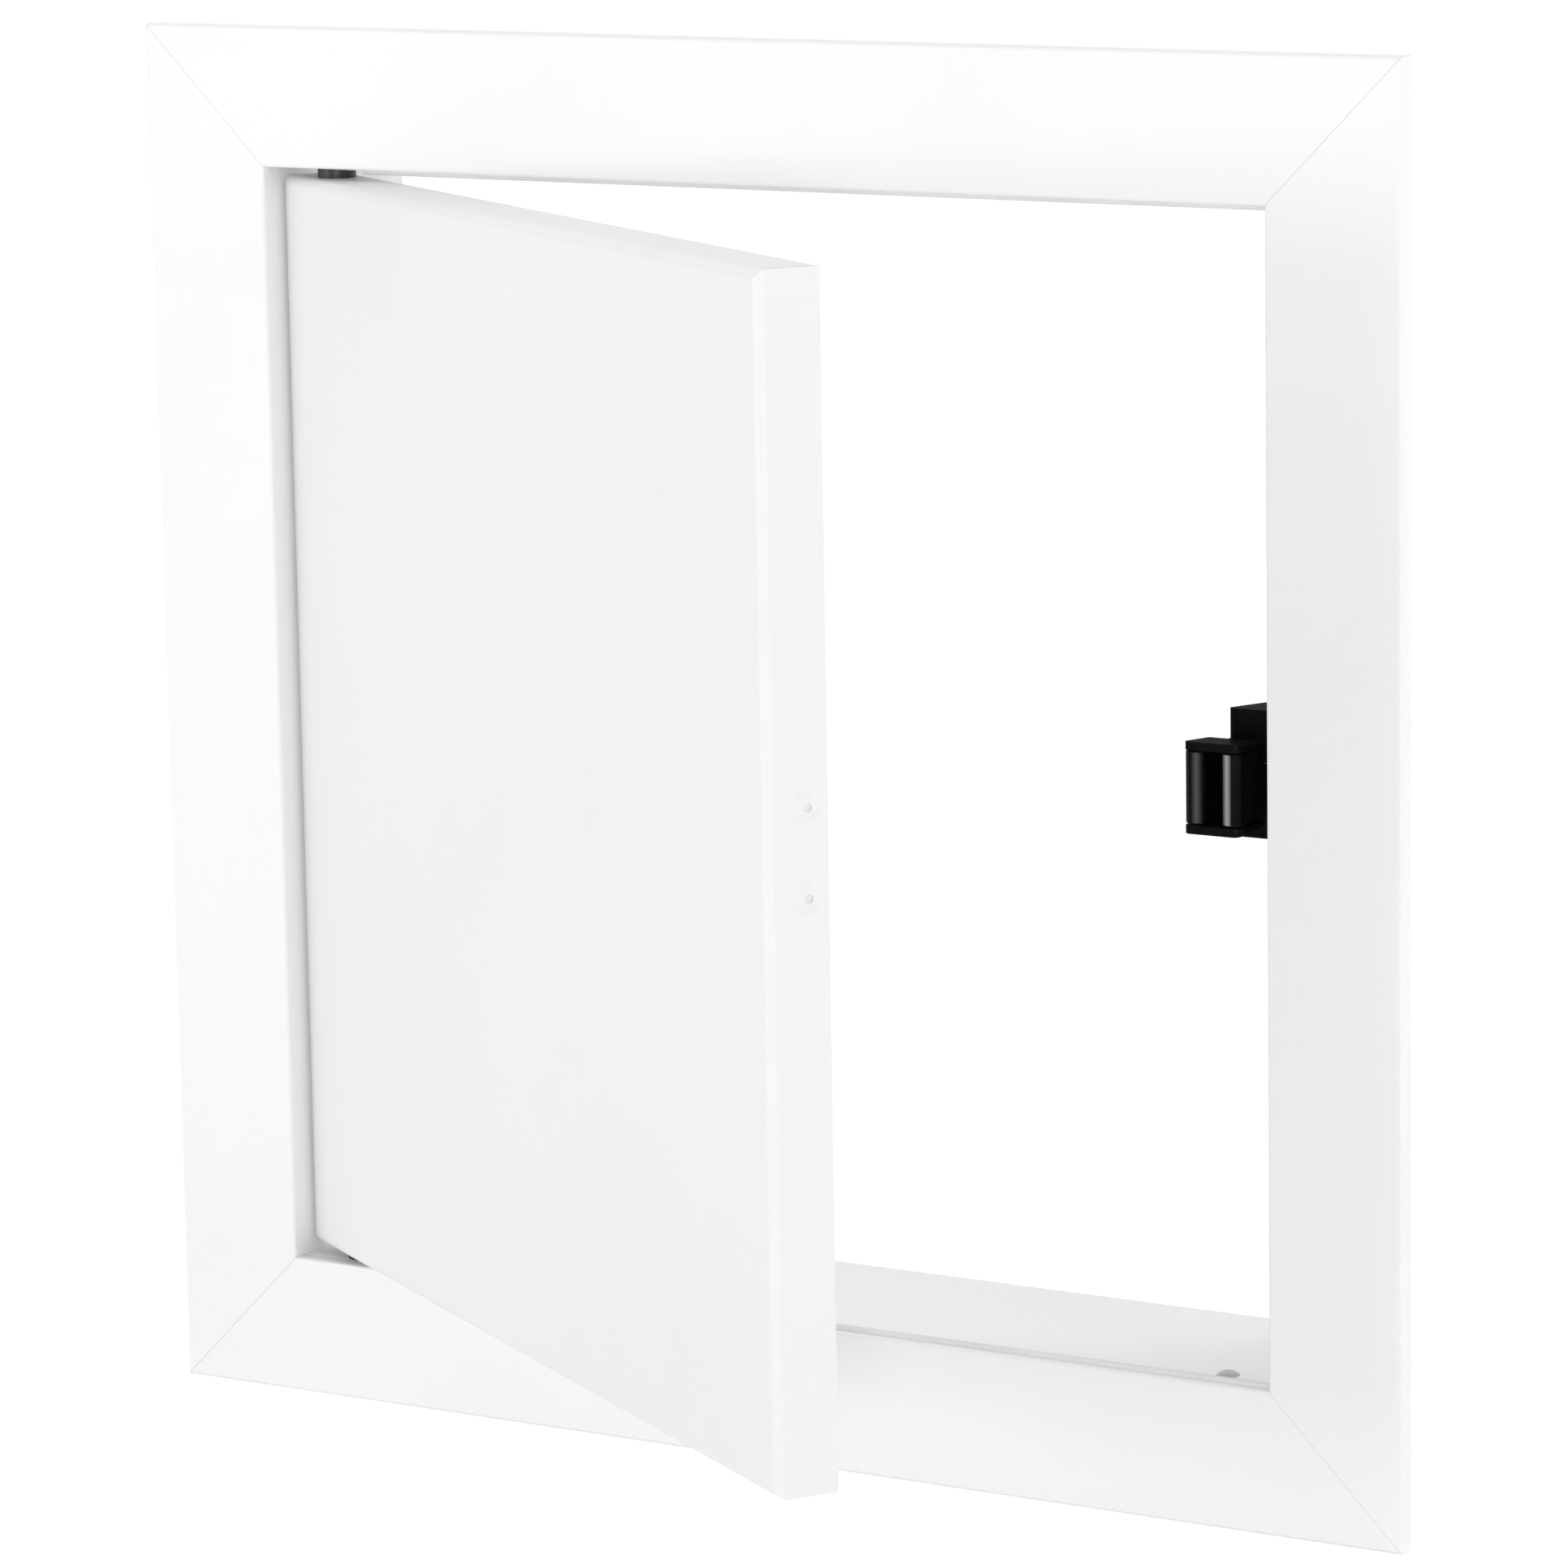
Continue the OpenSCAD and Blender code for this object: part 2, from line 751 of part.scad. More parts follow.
// One claw, built for the jamb side and mirrored for the other; it stands open about its pin
module claw(side) {
    color("black")
        at_latch()
            mirror([side < 0 ? 1 : 0, 0, 0])
                translate([claw_pivot_x, claw_pivot_d, 0])
                    rotate([0, 0, claw_open])
                        translate([-claw_pivot_x, -claw_pivot_d, 0])
                            difference() {
                                union() {
                                    claw_front();
                                    translate([claw_half_space, claw_tall_end - eps, -knuckle_h / 2])
                                        cube([claw_t, claw_pivot_d - claw_tall_end + eps, knuckle_h]);
                                    translate([claw_pivot_x, claw_pivot_d, -knuckle_h / 2])
                                        cylinder(d = knuckle_d, h = knuckle_h);
                                }
                                translate([claw_pivot_x, claw_pivot_d, -knuckle_h])
                                    cylinder(r = claw_pin_d / 2 + pin_clear, h = 2 * knuckle_h);
                            }
}

module latch_claw_inner() {
    claw(-1);
}

module latch_claw_outer() {
    claw(1);
}

// Door: everything is laid out shut and then turned to the angle at which the door stands
module as_hung() {
    translate([pivot_x, pivot_y, 0])
        rotate([0, 0, -rest_angle])
            translate([-pivot_x, -pivot_y, 0])
                children();
}

// A strip of width w and depth d, rounded at its two front corners
module rounded_front(w, d, r) {
    difference() {
        translate([-w / 2, 0])
            square([w, d]);
        for (side = [0, 1])
            mirror([side, 0])
                translate([-w / 2, 0])
                    corner_waste(r);
    }
}

// A block of the door's outline with rounded front edges, inset by a sheet's thickness for the hollow
module pan_block(inset, depth) {
    w = door_w - 2 * inset;
    h = door_h - 2 * inset;
    translate([0, face_y + inset, 0])
        intersection() {
            translate([0, 0, -h / 2])
                linear_extrude(h)
                    rounded_front(w, depth, door_edge_r - inset);
            translate([-w / 2, 0, 0])
                rotate([0, 90, 0])
                    linear_extrude(w)
                        rounded_front(h, depth, door_edge_r - inset);
        }
}

hinge_rivet_setback = pivot_setback;
upper_ear_z = door_h / 2 - upper_ear;
lower_ear_z = -door_h / 2 + lower_ear;

// Rivet places on the hinge edge: the middle of each bracket's leg, two rivets each
module hinge_rivet_places() {
    for (mid = [upper_ear_z - bracket_leg / 2, lower_ear_z + bracket_leg / 2 + bracket_t / 2])
        for (side = [-1, 1])
            translate([-door_w / 2, face_y + hinge_rivet_setback, mid + side * bracket_rivet_pitch / 2])
                rotate([0, 90, 0])
                    children();
}

module striker_rivet_places() {
    for (side = [-1, 1])
        translate([door_w / 2, face_y + striker_rivet_setback,
                striker_rivet_mid + side * striker_rivet_pitch / 2])
            rotate([0, -90, 0])
                children();
}

module rivet_hole() {
    translate([0, 0, -door_sheet])
        cylinder(r = rivet_d / 2 + pin_clear, h = 2 * (door_sheet + bracket_t));
}

module pivot_hole() {
    translate([pivot_x, pivot_y, -door_h])
        cylinder(r = pin_hole_r, h = 2 * door_h);
}

module door_leaf() {
    slit_x = door_w / 2 - door_sheet - corner_slit;
    color("white")
        as_hung()
            difference() {
                pan_block(0, door_t);
                pan_block(door_sheet, door_t);
                for (sx = [-1, 1], sz = [-1, 1])
                    translate([sx * (slit_x + corner_slit / 2), face_y + door_edge_r + door_t / 2,
                            sz * (door_h / 2 - door_sheet / 2)])
                        cube([corner_slit, door_t, 2 * door_sheet], center = true);
                pivot_hole();
                hinge_rivet_places()
                    rivet_hole();
                striker_rivet_places()
                    rivet_hole();
            }
}

// Striker bracket: an angle riveted to the free edge, its foot against the back of the face
module striker_bracket() {
    border = 1;
    right = door_w / 2 - door_sheet;
    left = latch_x - striker_base_w / 2 - border;
    front = face_y + door_sheet;
    bottom = latch_z - striker_h / 2 - border;
    top = striker_rivet_mid + striker_rivet_pitch / 2 + striker_leg_over;
    bend = door_edge_r - door_sheet + hardware_clear;
    color("lightgray")
        as_hung()
            difference() {
                translate([0, 0, bottom])
                    linear_extrude(top - bottom)
                        difference() {
                            union() {
                                translate([left, front])
                                    square([right - left, bracket_t]);
                                translate([right - bracket_t, front])
                                    square([bracket_t, hardware_back - door_sheet]);
                            }
                            translate([right, front])
                                rotate(45)
                                    square(bend * sqrt(2), center = true);
                        }
                striker_rivet_places()
                    rivet_hole();
            }
}

// Striker: a tee-shaped rail, its head gripped by the latch's claws
module striker() {
    base = door_sheet + bracket_t;
    nose = 0.5;
    neck_front = striker_tip - striker_head_t;
    half = striker_head_w / 2;
    color("lightgray")
        as_hung()
            translate([latch_x, face_y, latch_z - striker_h / 2])
                linear_extrude(striker_h) {
                    translate([-striker_base_w / 2, base])
                        square([striker_base_w, striker_base_t]);
                    translate([-striker_neck_t / 2, base])
                        square([striker_neck_t, striker_tip - base - eps]);
                    polygon([
                        [-half, neck_front],
                        [half, neck_front],
                        [half, striker_tip - nose],
                        [half - nose, striker_tip],
                        [nose - half, striker_tip],
                        [-half, striker_tip - nose]
                    ]);
                }
}

// A blind rivet set through two sheets: a domed head with a dimple outside, a round tail inside
module rivet() {
    grip = door_sheet + bracket_t;
    tail_d = rivet_d * 1.5;
    tail_h = 0.9;
    dome_r = (pow(rivet_head_d / 2, 2) + pow(rivet_head_h, 2)) / (2 * rivet_head_h);
    difference() {
        union() {
            cylinder(d = rivet_d, h = grip + tail_h);
            translate([0, 0, grip])
                cylinder(d = tail_d, h = tail_h);
            rotate_extrude()
                intersection() {
                    translate([0, dome_r - rivet_head_h])
                        circle(dome_r);
                    translate([0, -rivet_head_h])
                        square([rivet_head_d / 2, rivet_head_h]);
                }
        }
        translate([0, 0, -2 * rivet_head_h])
            cylinder(d = mandrel_d, h = rivet_head_h + mandrel_deep);
    }
}

module striker_rivets() {
    color("silver")
        as_hung()
            striker_rivet_places()
                rivet();
}

module hinge_bracket_rivets() {
    color("silver")
        as_hung()
            hinge_rivet_places()
                rivet();
}

// Hinge brackets: an ear that guides the pin and a leg riveted to the hinge edge
// up is +1 where the leg stands up from the ear and -1 where it hangs down
module hinge_bracket(ear_z, up) {
    border = 1.4;
    left = -door_w / 2 + door_sheet;
    ear_w = pivot_inset - door_sheet + collar_d / 2 + border;
    front = face_y + hardware_front;
    depth = hardware_back - hardware_front;
    leg_bottom = up > 0 ? ear_z - bracket_t / 2 : ear_z + bracket_t / 2 - bracket_leg;
    color("lightgray")
        as_hung()
            difference() {
                union() {
                    translate([left, front, ear_z - bracket_t / 2])
                        cube([ear_w, depth, bracket_t]);
                    translate([left, front, leg_bottom])
                        cube([bracket_t, depth, bracket_leg]);
                }
                pivot_hole();
                hinge_rivet_places()
                    rivet_hole();
            }
}

module upper_hinge_bracket() {
    hinge_bracket(upper_ear_z, -1);
}

module lower_hinge_bracket() {
    hinge_bracket(lower_ear_z, 1);
}

// A pin on the pivot axis between two heights
module pin_between(z0, z1, d) {
    translate([pivot_x, pivot_y, z0])
        cylinder(d = d, h = z1 - z0);
}

module lower_pivot_pin() {
    seat = lower_ear_z + bracket_t / 2;
    color("silver")
        as_hung() {
            pin_between(-open_h / 2 - pin_reach, seat + collar_t, pin_d);
            pin_between(seat, seat + collar_t, collar_d);
        }
}

// Upper pin: sprung into the top rail, with a bent finger tab that draws it down
collar_clear = 0.2;
collar_top = door_h / 2 - door_sheet - collar_clear;
tab_drop = 4;

module upper_pivot_pin() {
    tab_z = upper_ear_z - bracket_t / 2 - tab_drop;
    color("silver")
        as_hung() {
            pin_between(tab_z, open_h / 2 + pin_reach, pin_d);
            pin_between(collar_top - collar_t, collar_top, collar_d);
            translate([pivot_x, pivot_y, tab_z]) {
                sphere(d = pin_d);
                rotate([0, 90, 0])
                    cylinder(d = pin_d, h = tab_len);
            }
        }
}

module upper_pin_spring() {
    from = upper_ear_z + bracket_t / 2;
    seat_gap = 0.1;
    len = collar_top - collar_t - from - 2 * seat_gap;
    color("lightgray")
        as_hung()
            translate([pivot_x, pivot_y, from + seat_gap])
                coil(len, pin_spring_d, pin_spring_wire, pin_spring_turns);
}

// Spacers: nylon washers that keep the door's edges off the rails
module pivot_spacer(z0) {
    color("dimgray")
        as_hung()
            difference() {
                pin_between(z0, z0 + door_gap - spacer_clear, spacer_d);
                pivot_hole();
            }
}

module upper_pivot_spacer() {
    pivot_spacer(door_h / 2);
}

module lower_pivot_spacer() {
    pivot_spacer(-door_h / 2 - door_gap + spacer_clear);
}

frame_bottom_rail();
frame_top_rail();
frame_left_stile();
frame_right_stile();
corner_key(-1, -1);  // corner_key_bottom_left
corner_key(1, -1);  // corner_key_bottom_right
corner_key(-1, 1);  // corner_key_top_left
corner_key(1, 1);  // corner_key_top_right
key_set_screws();
dust_seal();
spare_hole_plugs();
latch_housing();
latch_rear_cap();
latch_screws();
latch_spring();
latch_plunger();
latch_claw_pins();
latch_claw_inner();
latch_claw_outer();
door_leaf();
striker_bracket();
striker();
striker_rivets();
upper_hinge_bracket();
lower_hinge_bracket();
hinge_bracket_rivets();
lower_pivot_pin();
upper_pivot_pin();
upper_pin_spring();
upper_pivot_spacer();
lower_pivot_spacer();
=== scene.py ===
import math

import bmesh
import bpy
from mathutils import Matrix, Vector


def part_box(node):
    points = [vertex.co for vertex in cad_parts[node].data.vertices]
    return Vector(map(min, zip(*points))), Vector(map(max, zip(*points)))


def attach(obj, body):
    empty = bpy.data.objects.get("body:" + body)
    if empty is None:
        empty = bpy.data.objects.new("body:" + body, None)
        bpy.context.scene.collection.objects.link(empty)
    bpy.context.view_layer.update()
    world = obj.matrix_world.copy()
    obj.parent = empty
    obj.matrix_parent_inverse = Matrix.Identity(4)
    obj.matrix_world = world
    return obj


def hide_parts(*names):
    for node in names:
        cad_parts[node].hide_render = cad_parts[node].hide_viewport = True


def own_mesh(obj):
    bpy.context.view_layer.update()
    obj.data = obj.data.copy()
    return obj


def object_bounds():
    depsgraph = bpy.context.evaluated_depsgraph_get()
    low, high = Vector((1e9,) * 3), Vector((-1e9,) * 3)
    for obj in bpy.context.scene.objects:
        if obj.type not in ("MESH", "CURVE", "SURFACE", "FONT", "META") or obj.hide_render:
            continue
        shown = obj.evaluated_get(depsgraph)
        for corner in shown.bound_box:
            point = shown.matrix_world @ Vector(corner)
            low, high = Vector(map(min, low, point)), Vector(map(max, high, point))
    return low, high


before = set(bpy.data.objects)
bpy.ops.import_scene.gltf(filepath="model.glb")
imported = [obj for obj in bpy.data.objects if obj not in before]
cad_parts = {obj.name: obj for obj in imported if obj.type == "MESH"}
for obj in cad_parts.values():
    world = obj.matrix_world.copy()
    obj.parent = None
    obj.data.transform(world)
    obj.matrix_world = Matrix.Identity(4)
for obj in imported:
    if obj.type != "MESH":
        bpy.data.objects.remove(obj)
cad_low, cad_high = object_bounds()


# Frame rails and stiles
# Four lengths of extruded aluminium with a wide face flange and a deep jamb, sawn to mitres.
# They are powder coated white: a smooth coat with a faint orange peel and a soft sheen.

surface_outputs = [
    ("Colour", "NodeSocketColor"), ("Roughness", "NodeSocketFloat"), ("Height", "NodeSocketFloat")]


def start_group(name, inputs, outputs):
    group = bpy.data.node_groups.new(name, "ShaderNodeTree")
    for label, kind, value in inputs:
        socket = group.interface.new_socket(label, in_out="INPUT", socket_type=kind)
        socket.default_value = value
    for label, kind in outputs:
        group.interface.new_socket(label, in_out="OUTPUT", socket_type=kind)
    return group, group.nodes.new("NodeGroupInput"), group.nodes.new("NodeGroupOutput")


def put_out(group, made, **results):
    for label, result in results.items():
        group.links.new(result, made.inputs[label])


def object_place(tree):
    return tree.nodes.new("ShaderNodeTexCoord").outputs["Object"]


def noise(tree, where, scale, detail, roughness=0.5):
    node = tree.nodes.new("ShaderNodeTexNoise")
    node.inputs["Detail"].default_value = detail
    node.inputs["Roughness"].default_value = roughness
    tree.links.new(where, node.inputs["Vector"])
    if isinstance(scale, (int, float)):
        node.inputs["Scale"].default_value = scale
    else:
        tree.links.new(scale, node.inputs["Scale"])
    return node.outputs["Fac"]


def spread(tree, value, low, high, to_low, to_high):
    node = tree.nodes.new("ShaderNodeMapRange")
    tree.links.new(value, node.inputs["Value"])
    for label, number in (("From Min", low), ("From Max", high), ("To Min", to_low), ("To Max", to_high)):
        if isinstance(number, (int, float)):
            node.inputs[label].default_value = number
        else:
            tree.links.new(number, node.inputs[label])
    return node.outputs["Result"]


def two_colours(tree, share, first, second):
    node = tree.nodes.new("ShaderNodeMix")
    node.data_type = "RGBA"
    tree.links.new(share, node.inputs["Factor"])
    for socket, colour in ((node.inputs[6], first), (node.inputs[7], second)):
        if isinstance(colour, tuple):
            socket.default_value = colour
        else:
            tree.links.new(colour, socket)
    return node.outputs[2]


def added(tree, first, second, weight):
    node = tree.nodes.new("ShaderNodeMath")
    node.operation = "MULTIPLY_ADD"
    tree.links.new(second, node.inputs[0])
    node.inputs[1].default_value = weight
    tree.links.new(first, node.inputs[2])
    return node.outputs[0]


def make_powder_coat_group():
    group, given, made = start_group(
        "powder_coat",
        [("Full Coat", "NodeSocketColor", (0.92, 0.92, 0.91, 1)),
         ("Thin Coat", "NodeSocketColor", (0.89, 0.89, 0.88, 1)),
         ("Peel Scale", "NodeSocketFloat", 600.0),
         ("Smoothest", "NodeSocketFloat", 0.36),
         ("Roughest", "NodeSocketFloat", 0.46)],
        surface_outputs)
    where = object_place(group)
    clouds = noise(group, where, scale=14.0, detail=3.0)
    peel = noise(group, where, scale=given.outputs["Peel Scale"], detail=2.0)
    speck = noise(group, where, scale=2600.0, detail=1.0)
    thin = spread(group, clouds, 0.35, 0.7, 0.0, 1.0)
    uneven = added(group, clouds, speck, weight=0.5)
    put_out(
        group, made,
        Colour=two_colours(group, thin, given.outputs["Full Coat"], given.outputs["Thin Coat"]),
        Roughness=spread(group, uneven, 0.5, 1.0, given.outputs["Smoothest"], given.outputs["Roughest"]),
        Height=added(group, peel, speck, weight=0.15))
    return group


powder_coat = make_powder_coat_group()


def add_bump(tree, height, strength, distance):
    bump = tree.nodes.new("ShaderNodeBump")
    bump.inputs["Strength"].default_value = strength
    bump.inputs["Distance"].default_value = distance
    tree.links.new(height, bump.inputs["Height"])
    tree.links.new(bump.outputs["Normal"], tree.nodes["Principled BSDF"].inputs["Normal"])


def finish_from(group, name, values, bump_strength, bump_distance, **fixed):
    material = bpy.data.materials.new(name)
    material.use_nodes = True
    tree = material.node_tree
    shader = tree.nodes["Principled BSDF"]
    surface = tree.nodes.new("ShaderNodeGroup")
    surface.node_tree = group
    for label, value in values.items():
        surface.inputs[label].default_value = value
    add_bump(tree, surface.outputs["Height"], bump_strength, bump_distance)
    tree.links.new(surface.outputs["Colour"], shader.inputs["Base Color"])
    tree.links.new(surface.outputs["Roughness"], shader.inputs["Roughness"])
    for label, value in fixed.items():
        shader.inputs[label.replace("_", " ")].default_value = value
    return material


def give_finish(material, *nodes):
    for name in nodes:
        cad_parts[name].material_slots[0].material = material


frame_coat = finish_from(
    powder_coat, "frame_white_coat",
    {"Full Coat": (0.94, 0.94, 0.928, 1), "Thin Coat": (0.922, 0.922, 0.906, 1), "Peel Scale": 520.0},
    bump_strength=0.12, bump_distance=0.0002)
give_finish(frame_coat, "frame_bottom_rail", "frame_top_rail", "frame_left_stile", "frame_right_stile")


# Dust seal
# Three strips of off-white rubber with a round nose, in slots in the bottom, top and latch-side jambs.
# Extruded, so they are matt, with a pale bloom in patches and a fine grain.

def make_rubber(name, body, bloom):
    material = bpy.data.materials.new(name)
    material.use_nodes = True
    tree = material.node_tree
    shader = tree.nodes["Principled BSDF"]
    where = object_place(tree)
    patches = noise(tree, where, scale=60.0, detail=4.0)
    grain = noise(tree, where, scale=1800.0, detail=2.0)
    bloomed = spread(tree, patches, 0.4, 0.75, 0.0, 1.0)
    tree.links.new(two_colours(tree, bloomed, body, bloom), shader.inputs["Base Color"])
    tree.links.new(spread(tree, grain, 0.2, 0.8, 0.7, 0.9), shader.inputs["Roughness"])
    add_bump(tree, grain, strength=0.3, distance=0.0001)
    return material


seal_rubber = make_rubber("pale_seal_rubber", body=(0.78, 0.78, 0.785, 1), bloom=(0.85, 0.85, 0.85, 1))
give_finish(seal_rubber, "dust_seal")


# Corner keys and their set screws
# Flat angles punched from zinc plated steel strip, slid into the channels behind the flange.
# Two small dark socket screws in each one are driven against the flange to pull the mitre shut.

def make_metal_group():
    group, given, made = start_group(
        "plated_metal",
        [("Bright", "NodeSocketColor", (0.74, 0.75, 0.76, 1)),
         ("Dull", "NodeSocketColor", (0.62, 0.63, 0.65, 1)),
         ("Line Scale", "NodeSocketFloat", 900.0),
         ("Smoothest", "NodeSocketFloat", 0.28),
         ("Roughest", "NodeSocketFloat", 0.46)],
        surface_outputs)
    where = object_place(group)
    along = group.nodes.new("ShaderNodeMapping")
    along.inputs["Scale"].default_value = (1.0, 1.0, 0.06)
    group.links.new(where, along.inputs["Vector"])
    lines = noise(
        group, along.outputs["Vector"], scale=given.outputs["Line Scale"], detail=4.0, roughness=0.6)
    stains = noise(group, where, scale=110.0, detail=3.0)
    both = added(group, stains, lines, weight=0.6)
    dulled = spread(group, both, 0.55, 1.05, 0.0, 1.0)
    put_out(
        group, made,
        Colour=two_colours(group, dulled, given.outputs["Bright"], given.outputs["Dull"]),
        Roughness=spread(group, both, 0.5, 1.1, given.outputs["Smoothest"], given.outputs["Roughest"]),
        Height=lines)
    return group


plated_metal = make_metal_group()
zinc_steel = finish_from(
    plated_metal, "zinc_plated_steel",
    {"Bright": (0.76, 0.77, 0.79, 1), "Dull": (0.6, 0.61, 0.63, 1)},
    bump_strength=0.1, bump_distance=0.0001, Metallic=1.0)
dark_steel = finish_from(
    plated_metal, "dark_oiled_steel",
    {"Bright": (0.34, 0.34, 0.35, 1), "Dull": (0.2, 0.2, 0.21, 1), "Line Scale": 1400.0,
     "Smoothest": 0.3, "Roughest": 0.5},
    bump_strength=0.1, bump_distance=0.0001, Metallic=1.0)


def eased_copy(node, body, material, edge):
    same_point = 2e-6
    flat_angle, corner_angle, sharp_angle = math.radians(0.5), math.radians(50), math.radians(38)
    bm = bmesh.new()
    bm.from_mesh(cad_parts[node].data)
    bmesh.ops.remove_doubles(bm, verts=bm.verts, dist=same_point)
    bmesh.ops.dissolve_limit(bm, angle_limit=flat_angle, verts=bm.verts, edges=bm.edges)
    corners = [e for e in bm.edges if len(e.link_faces) == 2 and e.calc_face_angle(0.0) > corner_angle]
    bmesh.ops.bevel(bm, geom=corners, offset=edge, offset_type="OFFSET", segments=3, profile=0.5,
                    affect="EDGES", clamp_overlap=True)
    for face in bm.faces:
        face.smooth = True
    mesh = bpy.data.meshes.new(node + "_eased")
    bm.to_mesh(mesh)
    bm.free()
    mesh.set_sharp_from_angle(angle=sharp_angle)
    mesh.materials.append(material)
    piece = bpy.data.objects.new(node + "_eased", mesh)
    bpy.context.scene.collection.objects.link(piece)
    piece.modifiers.new("flat_faces", "WEIGHTED_NORMAL").keep_sharp = True
    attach(piece, body)
    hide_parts(node)
    return piece


for corner in ("bottom_left", "bottom_right", "top_left", "top_right"):
    eased_copy("corner_key_" + corner, "frame", zinc_steel, edge=0.00012)
give_finish(dark_steel, "key_set_screws")


# Latch housing, rear cap and screws
# A black moulded nylon box with a fine matt skin, screwed sideways to the jamb through the ear at its top.
# A cap of the same nylon snaps into its back and carries the spring; edges are eased by the mould.

def make_moulded_group():
    group, given, made = start_group(
        "moulded_plastic",
        [("Body", "NodeSocketColor", (0.01, 0.01, 0.012, 1)),
         ("Flow", "NodeSocketColor", (0.014, 0.014, 0.016, 1)),
         ("Smoothest", "NodeSocketFloat", 0.16),
         ("Roughest", "NodeSocketFloat", 0.26)],
        surface_outputs)
    where = object_place(group)
    flow = noise(group, where, scale=220.0, detail=2.0)
    skin = noise(group, where, scale=2400.0, detail=2.0)
    streaks = spread(group, flow, 0.4, 0.7, 0.0, 1.0)
    uneven = added(group, flow, skin, weight=0.5)
    put_out(
        group, made,
        Colour=two_colours(group, streaks, given.outputs["Body"], given.outputs["Flow"]),
        Roughness=spread(group, uneven, 0.5, 1.0, given.outputs["Smoothest"], given.outputs["Roughest"]),
        Height=added(group, flow, skin, weight=0.4))
    return group


moulded_plastic = make_moulded_group()
latch_black = finish_from(
    moulded_plastic, "latch_black_nylon",
    {"Body": (0.004, 0.004, 0.0045, 1), "Flow": (0.006, 0.006, 0.0065, 1),
     "Smoothest": 0.4, "Roughest": 0.55},
    bump_strength=0.05, bump_distance=0.0001, Specular_IOR_Level=0.0, Coat_Weight=0.1, Coat_Roughness=0.35)
eased_copy("latch_housing", "frame", latch_black, edge=0.00025)
eased_copy("latch_rear_cap", "frame", latch_black, edge=0.0002)
give_finish(dark_steel, "latch_screws")


# Latch plunger, claws and their pins
# The plunger slides in the housing; two moulded claws hinge on steel pins in its fork, between its plates.
# They shut on the striker as the plunger goes in. Their slanted faces carry a painted highlight: a grey band,
# brightest in its middle and fading to its edges, under a glossier coat.

def make_painted_highlight_group():
    group, given, made = start_group(
        "painted_highlight_band",
        [("Body", "NodeSocketColor", (0.004, 0.004, 0.0045, 1)),
         ("Highlight Grey", "NodeSocketColor", (0.1, 0.1, 0.1, 1)),
         ("Middle", "NodeSocketFloat", 0.0),
         ("Half Width", "NodeSocketFloat", 0.001),
         ("Shine", "NodeSocketFloat", 1.0)],
        surface_outputs + [("Shine", "NodeSocketFloat")])
    where = object_place(group)
    scuffs = noise(group, where, scale=1500.0, detail=3.0)
    across = group.nodes.new("ShaderNodeSeparateXYZ")
    group.links.new(where, across.inputs["Vector"])
    offset = group.nodes.new("ShaderNodeMath")
    offset.operation = "SUBTRACT"
    group.links.new(across.outputs["X"], offset.inputs[0])
    group.links.new(given.outputs["Middle"], offset.inputs[1])
    from_middle = group.nodes.new("ShaderNodeMath")
    from_middle.operation = "ABSOLUTE"
    group.links.new(offset.outputs[0], from_middle.inputs[0])
    # Painted highlight mask: full at the middle of the slanted face, falling to nothing at its edges.
    highlight_mask = spread(group, from_middle.outputs[0], 0.0, given.outputs["Half Width"], 1.0, 0.0)
    put_out(
        group, made,
        Colour=two_colours(group, highlight_mask, given.outputs["Body"], given.outputs["Highlight Grey"]),
        Roughness=spread(group, scuffs, 0.3, 0.7, 0.14, 0.26),
        Height=scuffs,
        Shine=spread(group, highlight_mask, 0.0, 1.0, 0.0, given.outputs["Shine"]))
    return group


eased_copy("latch_plunger", "plunger", latch_black, edge=0.0003)
painted_highlight_band = make_painted_highlight_group()
lead_in_turn = math.radians(15.5)
same_direction = math.cos(math.radians(5))
# The painted highlight is a dim grey on the inner claw and a bright grey on the outer claw.
for claw, side, highlight_grey, shine in (("inner", -1, 0.02, 0.9), ("outer", 1, 0.36, 1.0)):
    piece = eased_copy("latch_claw_" + claw, "claw_" + claw, latch_black, edge=0.0002)
    lead_in = Vector((-side * math.sin(lead_in_turn), -math.cos(lead_in_turn), 0))
    slanted = [face for face in piece.data.polygons if face.normal.dot(lead_in) > same_direction]
    places = [piece.data.vertices[i].co.x for face in slanted for i in face.vertices]
    highlight_finish = finish_from(
        painted_highlight_band, "painted_highlight_" + claw + "_claw",
        {"Highlight Grey": (highlight_grey, highlight_grey, highlight_grey, 1), "Middle": (min(places) + max(places)) / 2,
         "Half Width": (max(places) - min(places)) / 2, "Shine": shine},
        bump_strength=0.05, bump_distance=0.0001,
        Coat_Roughness=0.1, Coat_IOR=1.7, Specular_IOR_Level=0.0)
    tree = highlight_finish.node_tree
    tree.links.new(tree.nodes["Group"].outputs["Shine"], tree.nodes["Principled BSDF"].inputs["Coat Weight"])
    piece.data.materials.append(highlight_finish)
    for face in slanted:
        face.material_index = 1
give_finish(zinc_steel, "latch_claw_pins")


# Latch spring
# A compression spring of drawn steel wire between the plunger's tail and the rear cap.
# Its end turns are wound close, so it sits flat on both pegs; it shortens as the plunger goes in.

spring_steel = finish_from(
    plated_metal, "drawn_spring_wire",
    {"Bright": (0.6, 0.6, 0.61, 1), "Dull": (0.44, 0.44, 0.45, 1), "Line Scale": 2600.0,
     "Smoothest": 0.22, "Roughest": 0.38},
    bump_strength=0.1, bump_distance=0.00005, Metallic=1.0)


